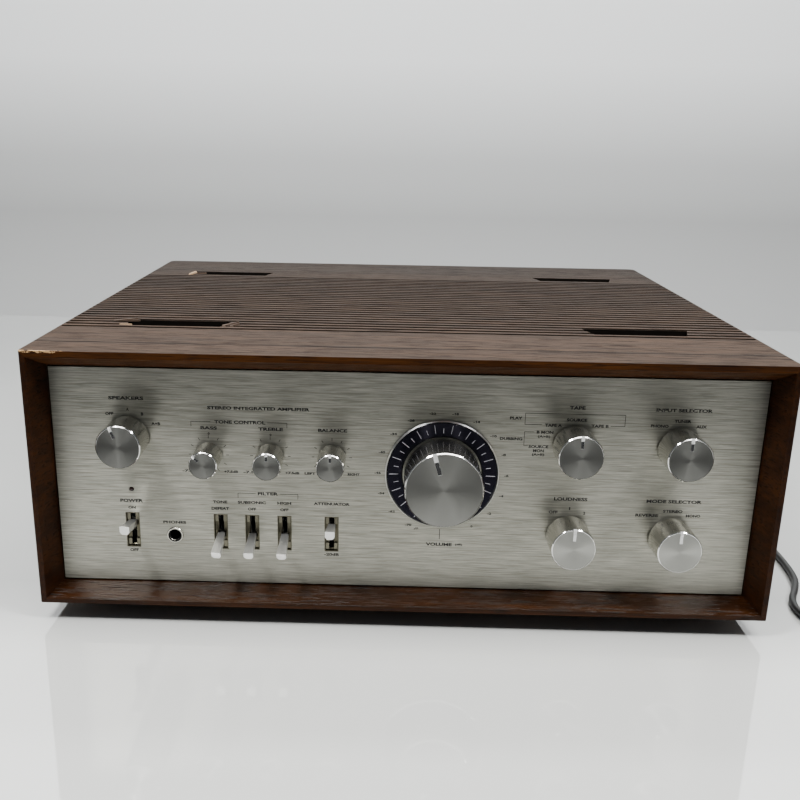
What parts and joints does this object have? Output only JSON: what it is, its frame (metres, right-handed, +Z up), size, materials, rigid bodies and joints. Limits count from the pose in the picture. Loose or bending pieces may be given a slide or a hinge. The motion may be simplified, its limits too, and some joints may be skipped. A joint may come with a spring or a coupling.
{
  "type": "integrated amplifier",
  "caption": "Stereo integrated amplifier in a slatted wooden cabinet: brushed aluminium panel, large volume knob in a black dial, selector and tone knobs, lever switches.",
  "frame": {"origin": "on the surface the feet stand on, under the middle of the body's box (cabinet, knobs and rear terminals, cord left out)", "axes": "+Z up, the control panel faces -Y, +X to the right as seen from the front"},
  "size_m": [0.5848, 0.4544, 0.1735],
  "materials": {
    "walnut_top": "satin",
    "walnut_side": "satin",
    "foot_plastic": "matte",
    "spacer_fibre": "matte",
    "zinc_steel": "satin",
    "brushed_panel": "brushed",
    "black_steel": "satin",
    "capacitor_sleeve": "gloss",
    "black_anodised": "matte",
    "transistor_can": "satin",
    "circuit_board": "matte",
    "control_can": "satin",
    "switch_board": "matte",
    "switch_body": "matte",
    "slot_trim": "satin",
    "jack_metal": "polished",
    "lamp_lens": "gloss",
    "dial_black": "gloss",
    "post_brass": "polished",
    "terminal_black": "gloss",
    "knob_aluminium": "satin, turned face",
    "lever_chrome": "satin",
    "cord_rubber": "satin"
  },
  "bodies": {
    "amplifier": {"top_front_rail": "walnut_top", "slatted_top": "walnut_top", "top_rear_rail": "walnut_top", "left_side": "walnut_side", "right_side": "walnut_side", "bottom_board": "walnut_side", "cabinet_feet": "foot_plastic", "chassis_spacers": "spacer_fibre", "cabinet_screws": "zinc_steel", "front_panel": "brushed_panel", "sub_panel": "zinc_steel", "chassis_pan": "zinc_steel", "rear_panel": "black_steel", "vent_cover": "black_steel", "left_transformer": "black_steel", "right_transformer": "black_steel", "filter_capacitors": "capacitor_sleeve", "heat_sink": "black_anodised", "output_transistors": "transistor_can", "power_amp_board": "circuit_board", "phono_board": "circuit_board", "volume_potentiometer": "control_can", "tone_potentiometers": "control_can", "selector_switches": "switch_board", "lever_switches": "switch_body", "lever_slot_inserts": "slot_trim", "headphone_jack": "jack_metal", "power_lamp": "lamp_lens", "volume_dial": "dial_black", "input_sockets": "jack_metal", "ground_post": "post_brass", "speaker_terminals": "terminal_black", "ac_outlets": "terminal_black", "strain_relief": "cord_rubber", "power_cord": "cord_rubber", "cord_coil": "cord_rubber", "power_plug": "cord_rubber"},
    "volume_control": {"volume_knob": "knob_aluminium", "volume_shaft": "zinc_steel"},
    "speaker_control": {"speaker_knob": "knob_aluminium", "speaker_shaft": "zinc_steel"},
    "bass_control": {"bass_knob": "knob_aluminium", "bass_shaft": "zinc_steel"},
    "treble_control": {"treble_knob": "knob_aluminium", "treble_shaft": "zinc_steel"},
    "balance_control": {"balance_knob": "knob_aluminium", "balance_shaft": "zinc_steel"},
    "tape_control": {"tape_knob": "knob_aluminium", "tape_shaft": "zinc_steel"},
    "input_control": {"input_knob": "knob_aluminium", "input_shaft": "zinc_steel"},
    "loudness_control": {"loudness_knob": "knob_aluminium", "loudness_shaft": "zinc_steel"},
    "mode_control": {"mode_knob": "knob_aluminium", "mode_shaft": "zinc_steel"},
    "power_switch": {"power_lever": "lever_chrome"},
    "tone_defeat_switch": {"tone_defeat_lever": "lever_chrome"},
    "subsonic_switch": {"subsonic_lever": "lever_chrome"},
    "high_filter_switch": {"high_filter_lever": "lever_chrome"},
    "attenuator_switch": {"attenuator_lever": "lever_chrome"}
  },
  "joints": [
    {"name": "volume_turn", "type": "hinge", "parent": "amplifier", "child": "volume_control", "pos_m": [0.023, -0.172, 0.0965], "axis": [0, 1, 0], "range_deg": [-144, 166]},
    {"name": "speaker_turn", "type": "hinge", "parent": "amplifier", "child": "speaker_control", "pos_m": [-0.1692, -0.172, 0.1168], "axis": [0, 1, 0], "range_deg": [0, 85]},
    {"name": "bass_turn", "type": "hinge", "parent": "amplifier", "child": "bass_control", "pos_m": [-0.12, -0.172, 0.1059], "axis": [0, 1, 0], "range_deg": [-104, 196]},
    {"name": "treble_turn", "type": "hinge", "parent": "amplifier", "child": "treble_control", "pos_m": [-0.0822, -0.172, 0.1059], "axis": [0, 1, 0], "range_deg": [-150, 150]},
    {"name": "balance_turn", "type": "hinge", "parent": "amplifier", "child": "balance_control", "pos_m": [-0.0445, -0.172, 0.1059], "axis": [0, 1, 0], "range_deg": [-150, 150]},
    {"name": "tape_turn", "type": "hinge", "parent": "amplifier", "child": "tape_control", "pos_m": [0.1023, -0.172, 0.1168], "axis": [0, 1, 0], "range_deg": [-90, 30]},
    {"name": "input_turn", "type": "hinge", "parent": "amplifier", "child": "input_control", "pos_m": [0.1656, -0.172, 0.1168], "axis": [0, 1, 0], "range_deg": [-30, 30]},
    {"name": "loudness_turn", "type": "hinge", "parent": "amplifier", "child": "loudness_control", "pos_m": [0.1023, -0.172, 0.0583], "axis": [0, 1, 0], "range_deg": [-30, 30]},
    {"name": "mode_turn", "type": "hinge", "parent": "amplifier", "child": "mode_control", "pos_m": [0.1656, -0.172, 0.0583], "axis": [0, 1, 0], "range_deg": [-30, 30]},
    {"name": "power_tilt", "type": "hinge", "parent": "amplifier", "child": "power_switch", "pos_m": [-0.1694, -0.152, 0.0546], "axis": [1, 0, 0], "range_deg": [0, 22]},
    {"name": "tone_defeat_tilt", "type": "hinge", "parent": "amplifier", "child": "tone_defeat_switch", "pos_m": [-0.114, -0.152, 0.0546], "axis": [1, 0, 0], "range_deg": [-22, 0]},
    {"name": "subsonic_tilt", "type": "hinge", "parent": "amplifier", "child": "subsonic_switch", "pos_m": [-0.0942, -0.152, 0.0546], "axis": [1, 0, 0], "range_deg": [-22, 0]},
    {"name": "high_filter_tilt", "type": "hinge", "parent": "amplifier", "child": "high_filter_switch", "pos_m": [-0.074, -0.152, 0.0546], "axis": [1, 0, 0], "range_deg": [-22, 0]},
    {"name": "attenuator_tilt", "type": "hinge", "parent": "amplifier", "child": "attenuator_switch", "pos_m": [-0.0445, -0.152, 0.0546], "axis": [1, 0, 0], "range_deg": [0, 22]}
  ]
}
